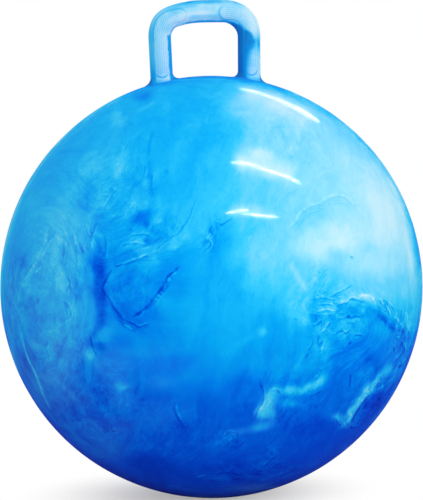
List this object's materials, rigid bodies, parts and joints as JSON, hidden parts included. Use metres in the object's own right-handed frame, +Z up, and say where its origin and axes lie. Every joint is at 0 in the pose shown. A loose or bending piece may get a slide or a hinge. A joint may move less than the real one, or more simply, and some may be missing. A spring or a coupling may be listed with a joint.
{
  "type": "hopper ball",
  "caption": "Inflated marbled vinyl ball to sit and bounce on, with a hollow loop handle on top, dotted grips and a push-in air plug at the back.",
  "frame": {"origin": "middle of the small flat that the ball rests on, on the floor", "axes": "+Z up through the middle of the ball and of the handle; the handle's loop lies in the XZ plane; +Y points out of the valve at the back, so the front looks along -Y"},
  "size_m": [0.4499, 0.4496, 0.5295],
  "materials": {
    "ball_vinyl": "glossy soft vinyl, marbled from deep blue to pale sky blue",
    "handle_vinyl": "satin soft vinyl, pale lavender blue shading to azure at the edges, with dotted grips",
    "bush_vinyl": "satin soft vinyl, mid blue",
    "plug_plastic": "satin off-white plastic"
  },
  "bodies": {
    "ball": {"ball_shell": "ball_vinyl", "handle_loop": "handle_vinyl", "valve_bush": "bush_vinyl"},
    "plug": {"valve_plug": "plug_plastic"}
  },
  "joints": [
    {"name": "plug_pull", "type": "slide", "parent": "ball", "child": "plug", "axis": [0, 1, 0], "range_m": [0, 0.02]}
  ]
}
